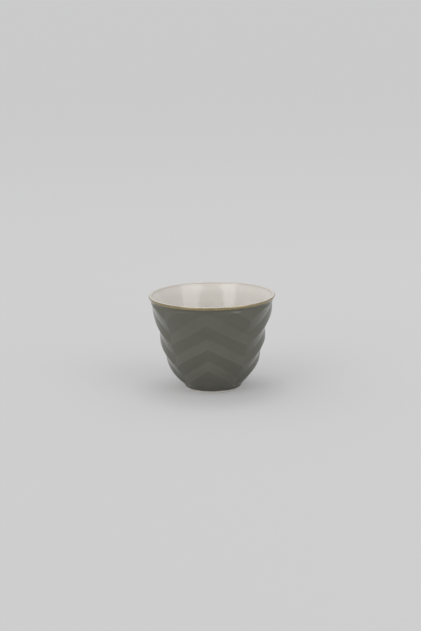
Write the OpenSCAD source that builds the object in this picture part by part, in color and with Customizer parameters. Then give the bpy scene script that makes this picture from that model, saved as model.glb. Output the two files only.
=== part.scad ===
// Handleless cup for arabic coffee, with moulded chevrons, two glazes and a gilded lip.
// Millimetres. The foot stands on z = 0, the axis of the cup is Z, and a chevron points up at the front (-Y).

/* [Overall size] */
// Height of the cup from the table to the top of the lip
cup_h = 49; // [42:0.5:64]
// Outside diameter of the lip
rim_d = 65; // [54:0.5:80]
// Outside diameter of the bare foot ring
foot_d = 28.6; // [22:0.2:36]

/* [Wall, lip and floor] */
// Thickness of the wall with both glazes, in the grooves between the chevrons
wall_t = 2.8; // [2.4:0.1:3.8]
// Thickness of the lip with its glaze
lip_t = 1.5; // [1.3:0.1:2.4]
// Height of the rounding of the lip
lip_round_h = 0.6; // [0.4:0.1:1.2]
// Height over which the wall tapers to the lip
lip_taper_h = 10; // [6:0.5:14]
// Thickness of clay under the inside floor
floor_t = 2.9; // [2:0.1:4]
// Height over which the inside rounds into its floor
inside_round_h = 11; // [7:0.5:15]

/* [Foot ring] */
// Width of the foot ring
foot_w = 2.9; // [2:0.1:4]
// Depth of the recess inside the foot ring
recess_h = 1.8; // [1.2:0.1:2.4]
// How far the recess is domed at its middle
recess_dome_h = 0.3; // [0.1:0.05:0.6]
// Height of the ring that is left bare of glaze
bare_h = 1; // [0.6:0.1:1.6]
// Width of the worn edges of the foot ring
foot_edge_w = 0.35; // [0.2:0.05:0.6]

/* [Chevrons] */
// Number of chevrons round the cup
chevron_n = 4; // [3:1:6]
// Height from one chevron to the next below it
chevron_pitch = 11.95; // [10:0.05:15]
// Height of one chevron from its valley to its point
chevron_rise = 11.55; // [8:0.05:14]
// Distance from the top of the lip down to the point of the highest groove
chevron_gap = 5.3; // [3:0.1:9]
// How far the crests stand out from the grooves
relief_depth = 1.1; // [0.6:0.05:1.6]
// Thickness of the moulded clay skin in the grooves
skin_t = 0.6; // [0.4:0.05:0.8]
// Height of the plain band under the lip
band_h = 2.4; // [2.2:0.1:6]
// Height over which the chevrons fade into the plain band
band_fade_h = 1.6; // [1:0.1:3]
// Height over which the chevrons fade above the foot
foot_fade_h = 4.6; // [3:0.2:6]
// How far the highest groove is drawn up towards the lip
top_stretch_h = 2.2; // [0:0.1:2.5]
// Height below the highest groove over which the chevrons are drawn up
top_run_h = 11.7; // [8:0.1:14]

/* [Glazes and gilding] */
// Thickness of a glaze coat
glaze_t = 0.3; // [0.2:0.05:0.4]
// Thickness of the gilding
gilding_t = 0.1; // [0.05:0.01:0.16]
// Height of the gilding below the widest line of the lip
gilding_h = 1.05; // [0.6:0.05:2]
// How far the gilding runs up over the rounding of the lip, where 90 degrees is its top
gilding_wrap_a = 60; // [20:5:80]

/* [Hidden] */
$fn = 96;

// Places along the chevron from one groove down to the next, and the crest among them
crest_share = 0.47;
row_shares = [0, 0.06, 0.2, 0.34, crest_share, 0.55, 0.75];
// How full the chevron is above its crest and how straight it falls below it
rise_power = 1.2;
fall_power = 0.8;
stretch_limit = 0.6;
// Columns of facets from a chevron's point to its valley
half_columns = 8;
// Shares of the height and of the radius, from the glaze edge at the foot to the widest line of the lip
outline_shares = [
  [0, 0], [0.034, 0.036], [0.087, 0.161], [0.176, 0.323], [0.307, 0.486],
  [0.481, 0.62], [0.657, 0.712], [0.831, 0.848], [0.93, 0.912], [1, 1]
];
// Steps of the round inside, of the straight stretches, of the lip and of the gilding
inside_steps = 16;
wall_steps = 12;
lip_steps = 8;
gilding_steps = 4;
core_steps = 20;

rim_r = rim_d / 2;
foot_r = foot_d / 2;
// The outline is widest at this height
lip_z = cup_h - lip_round_h;
edge_z = bare_h;
edge_r = foot_r + glaze_t;
gilding_z = lip_z - gilding_h;
inside_z = recess_h + recess_dome_h + floor_t + glaze_t;
recess_r = foot_r - foot_w;
relief_z1 = cup_h - band_h;
chevron_z = cup_h - chevron_gap;
// The drawing up ends at the gilding, and takes no more than this share of the way to it
stretch_h = min(top_stretch_h, stretch_limit * (gilding_z - chevron_z));
// Between these heights the rows of facets follow the chevrons
rows_z0 = edge_z + foot_fade_h / 4;
rows_z1 = relief_z1 - band_fade_h / 2 - stretch_h;

function smooth_step(x) = let (u = min(max(x, 0), 1)) u * u * (3 - 2 * u);

// Slope of the outline at its point i, from the points either side
function share_slope(p, i) =
  let (a = p[max(i - 1, 0)], b = p[min(i + 1, len(p) - 1)]) (b[1] - a[1]) / (b[0] - a[0]);

// Radius share at height share x, on a smooth curve through the points p
function share_at(p, x, i = 0) =
  i < len(p) - 2 && x > p[i + 1][0] ? share_at(p, x, i + 1) :
  let (a = p[i], b = p[i + 1], w = b[0] - a[0], u = (x - a[0]) / w)
    a[1] * (1 + 2 * u) * pow(1 - u, 2) + b[1] * u * u * (3 - 2 * u)
    + share_slope(p, i) * w * u * pow(1 - u, 2) - share_slope(p, i + 1) * w * u * u * (1 - u);

// Radius of the glazed outside at height z, in the grooves and on the plain band
function plain_r(z) = edge_r + (rim_r - edge_r) * share_at(outline_shares, (z - edge_z) / (lip_z - edge_z));

// Height of the chevron's surface between groove and crest, as a share of its depth
function lobe_share(t) = t < crest_share ? 1 - pow(1 - t / crest_share, rise_power)
  : 1 - pow((t - crest_share) / (1 - crest_share), fall_power);

function relief_fade(z) =
  smooth_step((relief_z1 - z) / band_fade_h) * smooth_step((z - edge_z) / foot_fade_h);

// Height at which the evenly spaced chevrons' height z comes to lie
function stretched(z) = z + stretch_h * smooth_step((z - chevron_z + top_run_h) / top_run_h)
  * smooth_step((gilding_z - z) / (gilding_z - chevron_z));

// Radius of the glazed outside where the evenly spaced height is z, and v is 0 at a chevron's point and 1 at its
// valley
function outside_r(v, z) =
  let (down = (chevron_z - z - chevron_rise * v) / chevron_pitch, t = down - floor(down))
    plain_r(stretched(z)) + relief_depth * lobe_share(t) * relief_fade(stretched(z));

// Rows of facets follow the chevrons. A row's level is its height at a chevron's point.
low_level = edge_z;
high_level = gilding_z + chevron_rise;
least_row_h = chevron_pitch * row_shares[1] / 2;
first_k = ceil((chevron_z - low_level) / chevron_pitch);
last_k = floor((chevron_z - high_level) / chevron_pitch) - 1;
inner_levels = [
  for (k = [first_k:-1:last_k], i = [len(row_shares) - 1:-1:0])
    let (level = chevron_z - chevron_pitch * (k + row_shares[i]))
      if (level > low_level + least_row_h && level < high_level - least_row_h) level
];
levels = concat([low_level], inner_levels, [high_level]);

// Height of a row where the valley share is v: rows follow the chevrons, and close up above and below them
function row_z(level, v) =
  let (z = level - chevron_rise * v)
    z > rows_z1 ? rows_z1 + (gilding_z - rows_z1) * (z - rows_z1) / (high_level - chevron_rise * v - rows_z1)
    : z < rows_z0 ? rows_z0 - (rows_z0 - edge_z) * (rows_z0 - z) / (rows_z0 - low_level + chevron_rise * v)
    : z;

columns = 2 * half_columns * chevron_n;
column_v = [for (i = [0:columns - 1]) let (k = i % (2 * half_columns)) k <= half_columns
  ? k / half_columns : 2 - k / half_columns];

// One ring of points of the outside at a row's level, drawn in by the distance inset
function ring(level, inset) = [
  for (i = [0:columns - 1])
    let (a = 360 * i / columns - 90, z = row_z(level, column_v[i]), r = outside_r(column_v[i], z) - inset)
      [r * cos(a), r * sin(a), stretched(z)]
];
function flat(lists) = [for (list = lists, item = list) item];

// Two facets for each cell between ring j and ring k. They split alike where ring k lies above and where it
// lies below, so that the glaze and the clay behind it share their facets.
function band_faces(j, k, below = false) = flat([
  for (i = [0:columns - 1])
    let (n = (i + 1) % columns, a = j * columns + i, b = j * columns + n, c = k * columns + n, d = k * columns + i)
      (column_v[n] > column_v[i]) != below ? [[a, d, b], [b, d, c]] : [[a, d, c], [a, c, b]]
]);

// Direction square to the outline p at its point i, to its right-hand side, into the clay
function side(p, i) =
  let (a = p[max(i - 1, 0)], b = p[min(i + 1, len(p) - 1)], d = (b - a) / norm(b - a)) [d[1], -d[0]];
function drawn_in(p, t) = [for (i = [0:len(p) - 1]) p[i] + t * side(p, i)];
function narrowed(p, t) = [for (q = p) [q[0] - t, q[1]]];
function backwards(p) = [for (i = [len(p) - 1:-1:0]) p[i]];

function inside_t(z) = wall_t + (lip_t - wall_t) * smooth_step((z - lip_z + lip_taper_h) / lip_taper_h);
// Radius of the inside at height z: it follows the outside, and rounds into the floor
function inside_r(z) =
  let (u = min(max((z - inside_z) / inside_round_h, 0), 1)) (plain_r(z) - inside_t(z)) * sqrt(1 - pow(1 - u, 2));
// Radius of the turned clay behind the moulded skin, which takes at most half of the clay near the lip
function core_r(z) = plain_r(z) - glaze_t - min(skin_t, inside_t(z) / 2 - glaze_t);
// Point of the lip's rounding at angle a: 180 inside, 90 at the top and 0 at the widest line
function lip_point(a) = [rim_r - lip_t / 2 + lip_t / 2 * cos(a), lip_z + lip_round_h * sin(a)];

// Outlines in [radius, height]: up the inside, over the lip, and down the outside to the lower edge of the gilding
round_top_z = inside_z + inside_round_h;
inside_line = concat(
  [for (i = [0:inside_steps]) let (z = inside_z + inside_round_h * pow(i / inside_steps, 2)) [inside_r(z), z]],
  [for (i = [1:wall_steps]) let (z = round_top_z + (lip_z - round_top_z) * i / wall_steps) [inside_r(z), z]]
);
white_lip = [for (i = [1:lip_steps]) lip_point(180 - (180 - gilding_wrap_a) * i / lip_steps)];
gilded_lip = [for (i = [1:gilding_steps]) lip_point(gilding_wrap_a * (1 - i / gilding_steps))];
gilded_wall = [
  for (i = [1:gilding_steps]) let (z = lip_z - gilding_h * i / gilding_steps) [plain_r(z), z]
];
gilding_line = concat([lip_point(gilding_wrap_a)], gilded_lip, gilded_wall);
behind_line = concat(
  [for (i = [0:len(gilding_line) - 2]) gilding_line[i] + gilding_t * side(gilding_line, i)],
  [[plain_r(gilding_z) - gilding_t, gilding_z]]
);
clay_line = concat(
  drawn_in(concat(inside_line, white_lip, gilded_lip), glaze_t),
  narrowed(gilded_wall, glaze_t)
);
core_line = [
  for (i = [0:core_steps]) let (z = gilding_z + (edge_z - gilding_z) * i / core_steps) [core_r(z), z]
];

// Outline of the foot ring from its bare side to the edge of the recess, and the recess from there to the axis
foot_line = [
  [foot_r, bare_h], [foot_r - foot_edge_w / 2, foot_edge_w / 2], [foot_r - foot_edge_w, 0], [recess_r, 0]
];
recess_line = concat(
  [for (a = [0:22.5:90]) [recess_r - recess_h / 2 + recess_h / 2 * cos(a), recess_h / 2 + recess_h / 2 * sin(a)]],
  [for (i = [1:4]) let (u = i / 4) [(recess_r - recess_h / 2) * (1 - u), recess_h + recess_dome_h * (1 - pow(1 - u, 2))]]
);

// Turned clay: wall, floor, lip and foot ring in one piece
module porcelain_body() {
  color([0.86, 0.84, 0.79])
    rotate_extrude(convexity = 8)
      polygon(concat(clay_line, core_line, foot_line, recess_line));
}

// Moulded clay skin round the wall, which carries the chevrons
module chevron_relief() {
  last = len(levels) - 1;
  color([0.86, 0.84, 0.79])
    difference() {
      polyhedron(
        points = flat([for (level = levels) ring(level, glaze_t)]),
        faces = concat(
          flat([for (j = [0:last - 1]) band_faces(j, j + 1)]),
          [[for (i = [0:columns - 1]) i]],
          [[for (i = [columns - 1:-1:0]) last * columns + i]]
        ),
        convexity = 8
      );
      rotate_extrude(convexity = 4)
        polygon(concat(
          [[0, cup_h], [core_r(gilding_z), cup_h]], core_line, [[core_r(edge_z), 0], [0, 0]]
        ));
    }
}

// Dark satin glaze on the outside, from the bare foot to the gilding
module outer_glaze() {
  last = len(levels) - 1;
  rings = concat(
    [for (level = levels) ring(level, 0)],
    [for (j = [last:-1:0]) ring(levels[j], glaze_t)]
  );
  count = len(rings);
  color([0.36, 0.36, 0.32])
    polyhedron(
      points = flat(rings),
      faces = flat([for (j = [0:count - 1]) band_faces(j, (j + 1) % count, below = j > last)]),
      convexity = 8
    );
}

// White gloss glaze of the inside, over the lip and behind the gilding
module inner_glaze() {
  color([0.93, 0.91, 0.88])
    rotate_extrude(convexity = 8)
      polygon(concat(inside_line, white_lip, behind_line, backwards(clay_line)));
}

// Glaze in the recess of the foot
module underside_glaze() {
  color([0.9, 0.89, 0.86])
    rotate_extrude(convexity = 4)
      polygon(concat(recess_line, backwards([for (p = drawn_in(recess_line, -glaze_t)) [max(p[0], 0), p[1]]])));
}

// Band of muted gold on the outside of the lip
module rim_gilding() {
  color([0.6, 0.53, 0.33])
    rotate_extrude(convexity = 4)
      polygon(concat(gilding_line, backwards(behind_line)));
}

porcelain_body();
chevron_relief();
outer_glaze();
inner_glaze();
underside_glaze();
rim_gilding();
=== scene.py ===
import math

import bpy
import numpy as np
from mathutils import Matrix, Vector


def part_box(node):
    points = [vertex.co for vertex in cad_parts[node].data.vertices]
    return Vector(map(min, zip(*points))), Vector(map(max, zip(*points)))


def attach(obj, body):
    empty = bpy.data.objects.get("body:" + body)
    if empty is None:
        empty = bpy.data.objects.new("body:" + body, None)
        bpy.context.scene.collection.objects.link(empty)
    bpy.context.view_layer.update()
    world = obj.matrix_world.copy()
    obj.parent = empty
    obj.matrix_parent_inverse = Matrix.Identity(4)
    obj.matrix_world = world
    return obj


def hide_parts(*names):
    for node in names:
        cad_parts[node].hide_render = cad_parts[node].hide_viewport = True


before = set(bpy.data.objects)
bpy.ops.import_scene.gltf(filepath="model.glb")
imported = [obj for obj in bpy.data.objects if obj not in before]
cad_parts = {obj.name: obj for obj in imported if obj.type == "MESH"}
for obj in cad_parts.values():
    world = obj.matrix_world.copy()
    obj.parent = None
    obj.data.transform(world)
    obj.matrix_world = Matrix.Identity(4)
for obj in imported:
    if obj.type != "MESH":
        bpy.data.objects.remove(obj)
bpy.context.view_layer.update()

MM = 0.001

# Sizes of the cup in millimetres, as the frame has them
RIM_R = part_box("rim_gilding")[1].x / MM
CUP_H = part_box("inner_glaze")[1].z / MM
EDGE_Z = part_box("outer_glaze")[0].z / MM
EDGE_R = 14.6
RECESS_R = 11.4
RECESS_H = 1.8
RECESS_DOME_H = 0.3
LIP_Z = CUP_H - 0.6
LIP_T = 1.5
LIP_TAPER_H = 10
WALL_T = 2.8
GLAZE_T = 0.3
INSIDE_Z = 5.3
INSIDE_ROUND_H = 11
GILDING_Z = LIP_Z - 1.05
GILDING_WRAP = math.radians(42)
GILDING_T = 0.1
GILDING_EDGE_T = 0.06

# The moulded chevrons
CHEVRON_N = 4
CHEVRON_Z = 43.7
CHEVRON_PITCH = 11.95
CHEVRON_RISE = 11.55
CREST = 0.47
RELIEF_DEPTH = 1.1
RELIEF_Z1 = 46.6
BAND_FADE_H = 1.6
# The highest groove is drawn up by STRETCH_H, and less and less down to STRETCH_Z
STRETCH_H = 0.6 * (GILDING_Z - CHEVRON_Z)
STRETCH_Z = CHEVRON_Z - 11.7
FOOT_FADE_H = 4.6
ROWS_Z0 = EDGE_Z + FOOT_FADE_H / 4
ROWS_Z1 = RELIEF_Z1 - BAND_FADE_H / 2 - STRETCH_H

# The dark coat's lower edge: its mean height over the edge of its solid, how uneven it is, how far up it
# pulls the glaze along, and its rounding
COAT_EDGE_UP = 0.1
COAT_EDGE_UNEVEN = 0.09
COAT_EDGE_REACH = 1.2
COAT_EDGE_ROUND = 0.13

# Shares of the height and of the radius along the outside
OUTLINE = np.array([
    (0, 0), (0.034, 0.036), (0.087, 0.161), (0.176, 0.323), (0.307, 0.486),
    (0.481, 0.62), (0.657, 0.712), (0.831, 0.848), (0.93, 0.912), (1, 1),
])

# Where the dark coat's rows lie within a chevron's pitch, closest at the groove and at the crest
ROW_SHARES = np.array([
    0, 0.03, 0.06, 0.1, 0.15, 0.2, 0.27, 0.34, 0.41, 0.45, 0.463,
    CREST, 0.477, 0.49, 0.52, 0.58, 0.66, 0.75, 0.84, 0.9, 0.94, 0.97,
])
ROW_GAP = 0.12
FINE_COLUMNS = 480


def smooth_step(x):
    """0 below 0, 1 above 1, and 3x^2 - 2x^3 between."""
    x = np.clip(x, 0, 1)
    return x * x * (3 - 2 * x)


def plain_r(z):
    """Radius of the outside at height z without the chevrons: a Hermite curve through OUTLINE, whose slope
    at a point is the slope from the point before it to the point after it."""
    x, y = OUTLINE.T
    before = np.maximum(np.arange(len(x)) - 1, 0)
    after = np.minimum(np.arange(len(x)) + 1, len(x) - 1)
    slope = (y[after] - y[before]) / (x[after] - x[before])
    s = (z - EDGE_Z) / (LIP_Z - EDGE_Z)
    i = np.clip(np.searchsorted(x, s) - 1, 0, len(x) - 2)
    w = x[i + 1] - x[i]
    u = (s - x[i]) / w
    share = (y[i] * (1 + 2 * u) * (1 - u) ** 2 + y[i + 1] * u * u * (3 - 2 * u)
             + slope[i] * w * u * (1 - u) ** 2 - slope[i + 1] * w * u * u * (1 - u))
    return EDGE_R + (RIM_R - EDGE_R) * share


def lobe_share(t):
    """Height of a chevron's section at the share t of its pitch, from groove 0 over CREST to groove 1. It is
    1 - (1 - t / CREST)^1.2 above the crest and 1 - ((t - CREST) / (1 - CREST))^0.8 below it."""
    t = t - np.floor(t)
    above = 1 - (1 - np.clip(t / CREST, 0, 1)) ** 1.2
    below = 1 - np.clip((t - CREST) / (1 - CREST), 0, 1) ** 0.8
    return np.where(t < CREST, above, below)


def glazed_lobe(t):
    """lobe_share as the glaze leaves it: at a groove it is the mean over 11% of the pitch, which fills the
    groove, and at the crest the mean over 1%. Both widths fall to nothing away from there."""
    t = t - np.floor(t)
    at_groove = np.clip(1 - np.minimum(t, 1 - t) / 0.3, 0, 1)
    at_crest = np.clip(1 - abs(t - CREST) / 0.03, 0, 1)
    near = at_groove * 0.055 + at_crest * 0.006
    return sum(lobe_share(t + near * o) for o in (-1, -0.5, 0, 0.5, 1)) / 5


def relief_fade(z):
    """How strongly the chevrons stand out at height z: they fade out above the foot and below the lip."""
    return smooth_step((RELIEF_Z1 - z) / BAND_FADE_H) * smooth_step((z - EDGE_Z) / FOOT_FADE_H)


def stretched(z):
    """Height at which the evenly spaced chevrons' height z comes to lie: z plus STRETCH_H times a smooth step
    from STRETCH_Z up to CHEVRON_Z, times a smooth step from the gilding down to CHEVRON_Z."""
    low = (z - STRETCH_Z) / (CHEVRON_Z - STRETCH_Z)
    high = (GILDING_Z - z) / (GILDING_Z - CHEVRON_Z)
    return z + STRETCH_H * smooth_step(low) * smooth_step(high)


def relief(v, z):
    """Share of the relief's depth at height z, where v is 0 at a chevron's point and 1 at its valley."""
    return glazed_lobe((CHEVRON_Z - z - CHEVRON_RISE * v) / CHEVRON_PITCH) * relief_fade(stretched(z))


def lip_point(a):
    """Points of the lip's half ellipse at the angles a, pi inside and 0 at the widest line of the cup."""
    a = np.asarray(a, float)
    return np.stack([RIM_R - LIP_T / 2 + LIP_T / 2 * np.cos(a), LIP_Z + (CUP_H - LIP_Z) * np.sin(a)], -1)


def inside_r(z):
    """Radius of the inside at height z: the outside less the wall, which thins to the lip, and rounded into
    the floor by the factor sqrt(1 - (1 - u)^2), where u is the share of the rounding's height."""
    wall = WALL_T + (LIP_T - WALL_T) * smooth_step((z - LIP_Z + LIP_TAPER_H) / LIP_TAPER_H)
    u = np.clip((z - INSIDE_Z) / INSIDE_ROUND_H, 0, 1)
    return (plain_r(z) - wall) * np.sqrt(1 - (1 - u) ** 2)


def moved_in(line, t):
    """The outline moved by t, square to its own direction, to its left-hand side."""
    ahead = np.gradient(line, axis=0)
    ahead /= np.linalg.norm(ahead, axis=1, keepdims=True)
    moved = line + t * np.stack([-ahead[:, 1], ahead[:, 0]], -1)
    moved[:, 0] = np.maximum(moved[:, 0], 0)
    return moved


def angles(columns):
    """The angles round the axis of evenly spaced columns."""
    return 2 * math.pi * np.arange(columns) / columns


def ripple(angle, seed, waves=(3, 5, 8, 13, 21, 34)):
    """An uneven line round the cup, between about -1 and 1: a sum of sines whose heights fall with their
    number as n^-0.4."""
    rng = np.random.default_rng(seed)
    parts = [np.sin(n * angle + rng.uniform(0, 2 * math.pi)) * n ** -0.4 for n in waves]
    return sum(parts) / sum(n ** -0.4 for n in waves)


def make_shell(name, radius, height, finish, node, ring, fields=None):
    """Mesh over a grid: row i and column j lie at radius[i, j] and height[i, j], at the angle
    2 pi j / columns, and fields are further values at the same points. Where ring is true the last row joins
    the first. Otherwise the first and last rows are single poles."""
    rows, columns = radius.shape
    angle = angles(columns)
    points = np.stack([radius * np.cos(angle), radius * np.sin(angle), height], -1)
    j = np.arange(columns)
    k = (j + 1) % columns
    # First point of each row, and of the row that follows it
    here = np.arange(rows if ring else rows - 3)[:, None] * columns
    after = (here + columns) % (rows * columns)
    faces = np.stack([here + j, here + k, after + k, after + j], -1).reshape(-1, 4).tolist()
    if ring:
        verts = points.reshape(-1, 3)
    else:
        verts = np.concatenate([points[1:-1].reshape(-1, 3), points[:1, 0], points[-1:, 0]])
        first, last = len(verts) - 2, len(verts) - 1
        top = (rows - 3) * columns
        faces += np.stack([np.full(columns, first), k, j], -1).tolist()
        faces += np.stack([top + j, top + k, np.full(columns, last)], -1).tolist()
    mesh = bpy.data.meshes.new(name)
    mesh.from_pydata((verts * MM).tolist(), [], faces)
    mesh.polygons.foreach_set("use_smooth", np.ones(len(mesh.polygons), bool))
    for field, values in (fields or {}).items():
        carried = mesh.attributes.new(field, "FLOAT", "POINT")
        carried.data.foreach_set("value", values.reshape(-1).astype(np.float32))
    mesh.update()
    piece = bpy.data.objects.new(name, mesh)
    bpy.context.scene.collection.objects.link(piece)
    mesh.materials.append(finish)
    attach(piece, "root")
    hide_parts(node)


def turned(name, line, columns, finish, node):
    """A turned piece: the outline's points (radius, height), from pole to pole, carried round the axis."""
    radius = np.repeat(line[:, :1], columns, 1)
    height = np.repeat(line[:, 1:], columns, 1)
    make_shell(name, radius, height, finish, node, False)


class Value:
    """A number or colour that comes out of a node. Each operator on it adds one Math node."""

    def __init__(self, finish, socket):
        self.finish = finish
        self.socket = socket

    def math(self, operation, *others):
        return self.finish.node("ShaderNodeMath", {"operation": operation}, *others)

    def __add__(self, other):
        return self.math("ADD", self, other)

    def __radd__(self, other):
        return self.math("ADD", other, self)

    def __sub__(self, other):
        return self.math("SUBTRACT", self, other)

    def __rsub__(self, other):
        return self.math("SUBTRACT", other, self)

    def __mul__(self, other):
        return self.math("MULTIPLY", self, other)

    def __rmul__(self, other):
        return self.math("MULTIPLY", other, self)

    def __truediv__(self, other):
        return self.math("DIVIDE", self, other)

    def __rtruediv__(self, other):
        return self.math("DIVIDE", other, self)

    def __pow__(self, other):
        return self.math("POWER", self, other)

    def __rpow__(self, other):
        return self.math("POWER", other, self)

    def step(self, low, high):
        """0 below low, 1 above high, smooth between."""
        settings = {"interpolation_type": "SMOOTHSTEP"}
        return self.finish.node("ShaderNodeMapRange", settings, Value=self, From_Min=low, From_Max=high)


class Finish:
    """A material and the nodes of its Principled shader."""

    def __init__(self, name):
        self.material = bpy.data.materials.new(name)
        self.material.use_nodes = True
        self.tree = self.material.node_tree
        self.shader = self.tree.nodes["Principled BSDF"]
        place = self.node("ShaderNodeTexCoord", out="Object")
        # Object coordinates in millimetres
        self.mm = self.node("ShaderNodeVectorMath", {"operation": "SCALE"}, place, Scale=1 / MM)

    def put(self, socket, value):
        """Links a Value to the socket, or sets the socket to a plain number, colour or vector."""
        if isinstance(value, Value):
            self.tree.links.new(value.socket, socket)
        elif socket.type == "RGBA":
            socket.default_value = (*value, 1)
        else:
            socket.default_value = value

    def node(self, kind, settings=None, *inputs, out=0, **named):
        """Adds a node: its type, its settings, then the values or links of its sockets, in order or by
        name."""
        made = self.tree.nodes.new(kind)
        for key, value in (settings or {}).items():
            setattr(made, key, value)
        for index, value in enumerate(inputs):
            self.put(made.inputs[index], value)
        for key, value in named.items():
            self.put(made.inputs[key.replace("_", " ")], value)
        return Value(self, made.outputs[out])

    def noise(self, size, detail=2, roughness=0.5, stretch=(1, 1, 1)):
        """Noise from 0 to 1 whose blots are about size millimetres across."""
        place = self.node("ShaderNodeVectorMath", {"operation": "MULTIPLY"}, self.mm, stretch)
        named = {"Scale": 1 / size, "Detail": detail, "Roughness": roughness}
        return self.node("ShaderNodeTexNoise", None, Vector=place, **named)

    def blend(self, share, first, second):
        """A colour between two colours."""
        made = self.tree.nodes.new("ShaderNodeMix")
        made.data_type = "RGBA"
        # The Mix node's factor and its two colours, among the sockets of its other types
        for index, value in ((0, share), (6, first), (7, second)):
            self.put(made.inputs[index], value)
        return Value(self, made.outputs[2])

    def height(self):
        """Height above the table in millimetres."""
        return self.node("ShaderNodeSeparateXYZ", None, self.mm, out="Z")

    def field(self, name):
        """A value that the mesh carries at its points."""
        return self.node("ShaderNodeAttribute", {"attribute_name": name}, out="Fac")

    def bump(self, height, distance_mm, under=None):
        """A normal from a height of 0 to 1 that stands for distance_mm millimetres."""
        named = {"Normal": under} if under else {}
        return self.node("ShaderNodeBump", None, Distance=distance_mm * MM, Height=height, **named)

    def shade(self, **named):
        """Sets or links the Principled shader's sockets, and gives the finished material."""
        for key, value in named.items():
            self.put(self.shader.inputs[key.replace("_", " ")], value)
        return self.material


def satin_glaze():
    """Dark olive grey satin glaze: cloudy, a little deeper and smoother where it pools in the grooves,
    thinner and drier along the crests and paler on and above them, partly from the thin glaze and partly as
    a painted highlight, with fine specks and a soft orange peel."""
    deep, pale = (0.104, 0.1028, 0.0815), (0.109, 0.1077, 0.0856)
    pooled = (0.0945, 0.0938, 0.075)
    # Paler colour of the crests: partly thin glaze, partly a painted highlight
    thin_glaze_and_highlight = (0.128, 0.125, 0.104)
    fleck = (0.055, 0.052, 0.045)
    f = Finish("satin_glaze")
    crest = f.field("crest").step(0.72, 1)
    pool = 1 - f.field("crest").step(0, 0.2)
    cloud = f.noise(7, detail=4, roughness=0.6).step(0.35, 0.65)
    speck = f.noise(0.22, detail=1).step(0.66, 0.78)
    colour = f.blend(cloud, deep, pale)
    colour = f.blend(pool * 0.3, colour, pooled)
    # Paler on and above each crest: partly the glaze breaking thin, partly a painted highlight on the band
    # above the crest
    colour = f.blend(crest * 0.25, colour, thin_glaze_and_highlight)
    colour = f.blend(speck * 0.35, colour, fleck)
    peel = f.bump(f.noise(3.2, detail=1), 0.012)
    grain = f.bump(f.noise(0.3), 0.002, under=peel)
    rough = 0.15 + (cloud - 0.5) * 0.02 + crest * 0.03 - pool * 0.01 + speck * 0.05
    return f.shade(Base_Color=colour, Roughness=rough, Normal=grain, IOR=1.52)


def white_glaze():
    """Warm white gloss glaze: nearly even, with faint clouds, a few pinholes and a slow waviness. Over the
    lip's
    top it is painted darker: painted shade that takes back the extra light the upward-facing lip catches."""
    warm, pale = (0.570, 0.543, 0.500), (0.594, 0.568, 0.524)
    pinhole = (0.48, 0.44, 0.38)
    lip_painted_shade = (0.49, 0.465, 0.425)
    f = Finish("white_glaze")
    cloud = f.noise(9, detail=3).step(0.3, 0.7)
    speck = f.noise(0.5, detail=0).step(0.82, 0.88)
    colour = f.blend(cloud, warm, pale)
    colour = f.blend(speck * 0.3, colour, pinhole)
    # Painted shade: the lip's top is darkened against the extra light it catches from above
    colour = f.blend(f.height().step(LIP_Z - 0.5, LIP_Z + 0.3) * 0.8, colour, lip_painted_shade)
    wave = f.bump(f.noise(8, detail=1), 0.05)
    peel = f.bump(f.noise(1.3, detail=1), 0.003, under=wave)
    return f.shade(Base_Color=colour, Roughness=0.105 + cloud * 0.03, Normal=peel, IOR=1.7)


def clear_glaze():
    """Clear gloss glaze over pale clay, with soft clouds and a slow waviness."""
    deep, pale = (0.56, 0.545, 0.50), (0.60, 0.58, 0.53)
    f = Finish("clear_glaze")
    cloud = f.noise(5, detail=3).step(0.3, 0.7)
    wave = f.bump(f.noise(5, detail=1), 0.04)
    return f.shade(Base_Color=f.blend(cloud, deep, pale), Roughness=0.1 + cloud * 0.05, Normal=wave, IOR=1.5)


def gilding():
    """Thin fired gilding: muted gold with brush streaks along the lip, rubbed to a thinner film in places."""
    deep, bright = (0.33, 0.272, 0.158), (0.44, 0.366, 0.222)
    worn = (0.27, 0.23, 0.165)
    f = Finish("gilding")
    streak = f.noise(1.4, detail=3, stretch=(0.35, 0.35, 4)).step(0.3, 0.7)
    rubbed = f.noise(2.2, detail=4, roughness=0.65).step(0.6, 0.74)
    colour = f.blend(streak, deep, bright)
    colour = f.blend(rubbed * 0.55, colour, worn)
    rough = 0.22 + streak * 0.1 + rubbed * 0.1
    grain = f.bump(f.noise(0.4), 0.004)
    return f.shade(Base_Color=colour, Metallic=1 - rubbed * 0.35, Roughness=rough, Normal=grain)


def bare_clay():
    """Unglazed biscuit porcelain: matt and fine grained, a little greyer where the foot ring rubs."""
    pale, stained = (0.68, 0.665, 0.61), (0.61, 0.59, 0.535)
    rubbed = (0.50, 0.48, 0.44)
    f = Finish("bare_clay")
    grain = f.noise(0.35, detail=4, roughness=0.7)
    stain = f.noise(4, detail=3).step(0.4, 0.75)
    rub = 1 - f.height().step(0.05, 0.5)
    colour = f.blend(stain, pale, stained)
    colour = f.blend(rub * grain * 0.7, colour, rubbed)
    return f.shade(Base_Color=colour, Roughness=0.68 + grain * 0.2, Normal=f.bump(grain, 0.03))


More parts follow.
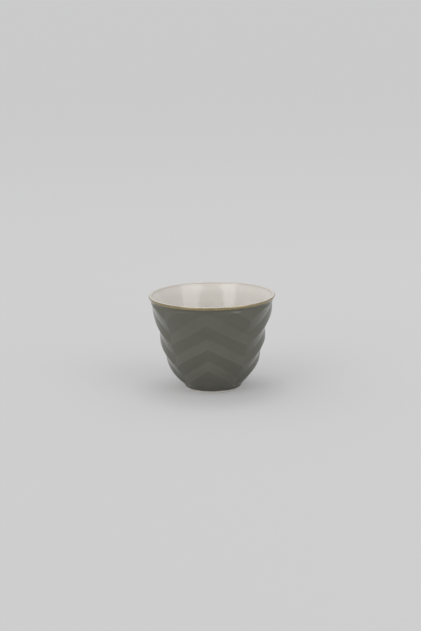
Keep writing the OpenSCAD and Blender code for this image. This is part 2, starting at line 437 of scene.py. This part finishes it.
def outer_glaze_piece():
    """The dark coat. Its rows follow the chevrons: a row's height is its level less the chevron's rise times
    v, closed up near the foot and the lip, and its radius is the plain outside plus the relief."""
    angle = angles(FINE_COLUMNS)
    # 0 at a chevron's point, at the front among others, and 1 at its valley
    v = 1 - abs(2 * np.mod((angle + math.pi / 2) * CHEVRON_N / (2 * math.pi), 1) - 1)
    low, high = EDGE_Z, GILDING_Z + CHEVRON_RISE
    levels = np.sort(np.concatenate([CHEVRON_Z - CHEVRON_PITCH * (k + ROW_SHARES) for k in range(-2, 5)]))
    levels = levels[(levels > low + ROW_GAP) & (levels < high - ROW_GAP)]
    levels = np.concatenate([[low], levels, [high]])[:, None]
    z = levels - CHEVRON_RISE * v
    above = ROWS_Z1 + (GILDING_Z - ROWS_Z1) * (z - ROWS_Z1) / (high - CHEVRON_RISE * v - ROWS_Z1)
    below = ROWS_Z0 - (ROWS_Z0 - EDGE_Z) * (ROWS_Z0 - z) / (ROWS_Z0 - low + CHEVRON_RISE * v)
    z = np.where(z > ROWS_Z1, above, np.where(z < ROWS_Z0, below, z))
    # The coat ends above the foot in an uneven rounded edge
    edge = COAT_EDGE_UP + COAT_EDGE_UNEVEN * ripple(angle, 3)
    z = z + edge * np.clip(1 - (z - EDGE_Z) / COAT_EDGE_REACH, 0, 1)
    share = relief(v, z)
    z = stretched(z)
    radius = plain_r(z) + RELIEF_DEPTH * share
    z[0] += COAT_EDGE_ROUND
    radius[0] = plain_r(z[0])
    turn = np.linspace(math.pi / 2, 0, 5)[:-1, None]
    edge_r = radius[0] - COAT_EDGE_ROUND * (1 - np.cos(turn))
    edge_z = z[0] - COAT_EDGE_ROUND * np.sin(turn)
    # Its back, towards the clay, has every fourth row
    back_r = np.concatenate([radius[::-4] - GLAZE_T, [plain_r(EDGE_Z + edge) - GLAZE_T]])
    back_z = np.concatenate([z[::-4], [EDGE_Z + edge]])
    crest = np.concatenate([0 * edge_r, share, 0 * back_r])
    radius = np.concatenate([edge_r, radius, back_r])
    height = np.concatenate([edge_z, z, back_z])
    make_shell("outer_glaze_coat", radius, height, satin_glaze(), "outer_glaze", True,
               {"crest": crest})


def inner_glaze_piece():
    """The white coat: up the clay's side from the pole, behind the gilding, over the lip and down the
    inside."""
    wall_z = np.linspace(LIP_Z, INSIDE_Z + INSIDE_ROUND_H, 60)[1:]
    floor_z = INSIDE_Z + INSIDE_ROUND_H * np.linspace(1, 0, 60)[1:] ** 2
    z = np.concatenate([wall_z, floor_z])
    inside = np.stack([inside_r(z), z], -1)
    inside[-1] = (0, INSIDE_Z)
    lip = lip_point(np.linspace(GILDING_WRAP, math.pi, 30))
    # The glaze thins to the gilding's edge and runs on behind it
    behind_z = np.linspace(GILDING_Z, LIP_Z, 6)
    behind = np.stack([plain_r(behind_z) - GILDING_T, behind_z], -1)
    behind_lip = moved_in(lip_point(np.linspace(0, GILDING_WRAP, 8)), GILDING_T)[1:]
    shown = np.concatenate([behind, behind_lip, lip[1:], inside])
    clay = moved_in(np.concatenate([lip[::3], inside[::3], inside[-1:]]), GLAZE_T)[::-1]
    clay[0] = (0, INSIDE_Z - GLAZE_T)
    line = np.concatenate([clay, shown])
    turned("inner_glaze_coat", line, 320, white_glaze(), "inner_glaze")


def underside_glaze_piece():
    """The clear coat of the foot's recess: out along its open face from the pole, and back along the clay."""
    half = RECESS_H / 2
    u = np.linspace(1, 0, 14)[:-1]
    dome = np.stack([(RECESS_R - half) * (1 - u), RECESS_H + RECESS_DOME_H * (1 - (1 - u) ** 2)], -1)
    a = np.linspace(math.pi / 2, 0, 12)
    side = np.stack([RECESS_R - half + half * np.cos(a), half + half * np.sin(a)], -1)
    clay = np.concatenate([dome, side])
    shown = moved_in(clay, -GLAZE_T)
    shown[0] = (0, clay[0, 1] - GLAZE_T)
    edge = clay[-1] - np.array([[0.2, 0]])
    line = np.concatenate([shown, edge, clay[::-1]])
    turned("underside_glaze_coat", line, 160, clear_glaze(), "underside_glaze")


def gilding_piece():
    """The gilded band: up the wall from an uneven lower edge and over the lip to an uneven upper edge. Its
    back lies GILDING_EDGE_T behind it, 60 degrees downwards at the upper edge and level at the lower."""
    angle = angles(FINE_COLUMNS)
    low = GILDING_Z - 0.04 + 0.07 * ripple(angle, 5)
    wall_z = low + (LIP_Z - low) * np.linspace(0, 1, 9)[:, None]
    wall_r = plain_r(wall_z) + 0.02 * smooth_step((LIP_Z - wall_z) / 0.5)
    wrap = (GILDING_WRAP + 0.06 * ripple(angle, 8)) * np.linspace(0, 1, 9)[1:, None]
    lip = lip_point(wrap)
    outer_r = np.concatenate([wall_r, lip[..., 0]])
    outer_z = np.concatenate([wall_z, lip[..., 1]])
    lean = np.linspace(math.pi / 3, 0, len(outer_r[::-2]))[:, None]
    back_r = outer_r[::-2] - GILDING_EDGE_T * np.cos(lean)
    back_z = outer_z[::-2] - GILDING_EDGE_T * np.sin(lean)
    radius = np.concatenate([outer_r, back_r])
    height = np.concatenate([outer_z, back_z])
    make_shell("lip_gilding", radius, height, gilding(), "rim_gilding", True)


outer_glaze_piece()
inner_glaze_piece()
underside_glaze_piece()
gilding_piece()

# The clay of the frame stays, with its finish in its own slots
clay_finish = bare_clay()
for name in ("porcelain_body", "chevron_relief"):
    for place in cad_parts[name].material_slots:
        place.material = clay_finish


# Floor, lamps and surroundings
FLOOR_NEAR = 0.506
FLOOR_FAR = 0.7
FLOOR_HALF = 30
# The floor is deepest in colour at this y, in millimetres, and half way to its far grey about two thirds of
# the reach from there
FLOOR_DEEP_Y = -350
FLOOR_DEEP_REACH = 1450
BACKGROUND = 0.61
SKY = 0.84
# How much brighter the light is from the left than from overhead
SKY_LEAN = 0.32
# Share of the floor's paleness that lies in its own colour for the camera, as on a backlit sheet
FLOOR_GLOW = 0.3

# Camera angles in degrees, its aim and distance in millimetres
CAMERA_AZIMUTH = 5.012
CAMERA_ELEVATION = 13.803
CAMERA_ROLL = 0.947
CAMERA_AIM_Z = 23.6948
CAMERA_DISTANCE = 785.2439

# Lamps: degrees round from the camera, degrees up, width and height in metres, watts
SOFTBOXES = {
    "left_softbox": (-42, 35.5, 0.45, 0.9, 1.65),
    "right_softbox": (51, 35.5, 0.65, 0.9, 2.2),
    "top_softbox": (180, 80, 0.4, 0.4, 1.9),
}


def neutral(level):
    """A grey that is bluer by a trace."""
    return (level, level, level * 1.002)


def make_floor():
    """A wide plain floor. Its grey is a little deeper near the cup, where the lamps reach it."""
    f = Finish("floor")
    deepest = (0, FLOOR_DEEP_Y, 0)
    reach = f.node("ShaderNodeVectorMath", {"operation": "DISTANCE"}, f.mm, deepest, out="Value")
    share = 1 / (1 + (reach / FLOOR_DEEP_REACH) ** 2) ** 2
    grey = f.blend(share, neutral(FLOOR_FAR), neutral(FLOOR_NEAR))
    f.shade(Base_Color=grey, Roughness=0.9, Specular_IOR_Level=0.0)
    camera_ray = f.node("ShaderNodeLightPath", out="Is Camera Ray")
    glow = f.node("ShaderNodeEmission", None, (BACKGROUND, BACKGROUND, BACKGROUND), 1.0)
    lit = Value(f, f.shader.outputs[0])
    seen = f.node("ShaderNodeMixShader", None, camera_ray * FLOOR_GLOW, lit, glow)
    f.tree.links.new(seen.socket, f.tree.nodes["Material Output"].inputs["Surface"])
    corners = [(x * FLOOR_HALF, y * FLOOR_HALF, 0) for x, y in ((-1, -1), (1, -1), (1, 1), (-1, 1))]
    mesh = bpy.data.meshes.new("floor")
    mesh.from_pydata(corners, [], [(0, 1, 2, 3)])
    floor = bpy.data.objects.new("floor", mesh)
    bpy.context.scene.collection.objects.link(floor)
    mesh.materials.append(f.material)


def direction(azimuth, elevation):
    """The direction from the cup at degrees round from the front and degrees up."""
    a, e = math.radians(azimuth), math.radians(elevation)
    return np.array([math.sin(a) * math.cos(e), -math.cos(a) * math.cos(e), math.sin(e)])


def make_softbox(name, azimuth, elevation, width, height, power):
    """A soft lamp one metre from the cup, turned to it."""
    lamp = bpy.data.lights.new(name, "AREA")
    lamp.shape = "RECTANGLE"
    lamp.size = width
    lamp.size_y = height
    lamp.energy = power
    way = Vector(direction(azimuth, elevation))
    placed = bpy.data.objects.new(name, lamp)
    bpy.context.scene.collection.objects.link(placed)
    placed.location = Vector((0, 0, 0.03)) + way
    placed.rotation_euler = (-way).to_track_quat("-Z", "Y").to_euler()


def make_sky():
    """Even light from all round. The camera and mirror rays see the pale background instead."""
    world = bpy.data.worlds.new("studio")
    bpy.context.scene.world = world
    world.use_nodes = True
    tree = world.node_tree
    rays = tree.nodes.new("ShaderNodeLightPath")
    seen = rays.outputs["Is Camera Ray"]
    for ray in ("Is Glossy Ray", "Is Transmission Ray"):
        most = tree.nodes.new("ShaderNodeMath")
        most.operation = "MAXIMUM"
        tree.links.new(seen, most.inputs[0])
        tree.links.new(rays.outputs[ray], most.inputs[1])
        seen = most.outputs[0]
    place = tree.nodes.new("ShaderNodeTexCoord")
    toward = tree.nodes.new("ShaderNodeVectorMath")
    toward.operation = "DOT_PRODUCT"
    toward.inputs[1].default_value = (-SKY * SKY_LEAN, 0, 0)
    tree.links.new(place.outputs["Generated"], toward.inputs[0])
    light = tree.nodes.new("ShaderNodeMath")
    light.inputs[1].default_value = SKY
    tree.links.new(toward.outputs["Value"], light.inputs[0])
    level = tree.nodes.new("ShaderNodeMapRange")
    tree.links.new(light.outputs[0], level.inputs["To Min"])
    level.inputs["To Max"].default_value = BACKGROUND
    tree.links.new(seen, level.inputs["Value"])
    tree.links.new(level.outputs[0], tree.nodes["Background"].inputs["Strength"])
    tree.nodes["Background"].inputs["Color"].default_value = (1, 1, 1, 1)


def make_camera():
    """The camera looks at the cup from 785 mm away, 13.8 degrees above its middle, tilted by a degree. The
    picture is 421 x 631 pixels, with the view's middle and the focal length given in pixels."""
    wide, tall, focal, middle_x, middle_y = 421, 631, 1516, 212.59, 341.79
    sensor_h = 36
    away = direction(CAMERA_AZIMUTH, CAMERA_ELEVATION)
    roll = math.radians(CAMERA_ROLL)
    place = (np.array([0, 0, CAMERA_AIM_Z]) + CAMERA_DISTANCE * away) * MM
    right = np.cross(-away, [0, 0, 1])
    right /= np.linalg.norm(right)
    up = np.cross(right, -away)
    x_axis = math.cos(roll) * right - math.sin(roll) * up
    y_axis = math.sin(roll) * right + math.cos(roll) * up
    data = bpy.data.cameras.new("camera")
    camera = bpy.data.objects.new("camera", data)
    bpy.context.scene.collection.objects.link(camera)
    bpy.context.scene.camera = camera
    columns = np.stack([x_axis, y_axis, away, place], -1)
    camera.matrix_world = Matrix([*columns.tolist(), [0, 0, 0, 1]])
    data.sensor_fit = "VERTICAL"
    data.sensor_height = sensor_h
    data.lens = focal / tall * sensor_h
    data.shift_x = -(middle_x - wide / 2) / tall
    data.shift_y = (middle_y - tall / 2) / tall
    data.clip_end = 200


make_floor()
make_sky()
for name, (azimuth, *rest) in SOFTBOXES.items():
    make_softbox(name, CAMERA_AZIMUTH + azimuth, *rest)
make_camera()
bpy.context.scene.view_settings.view_transform = "Standard"
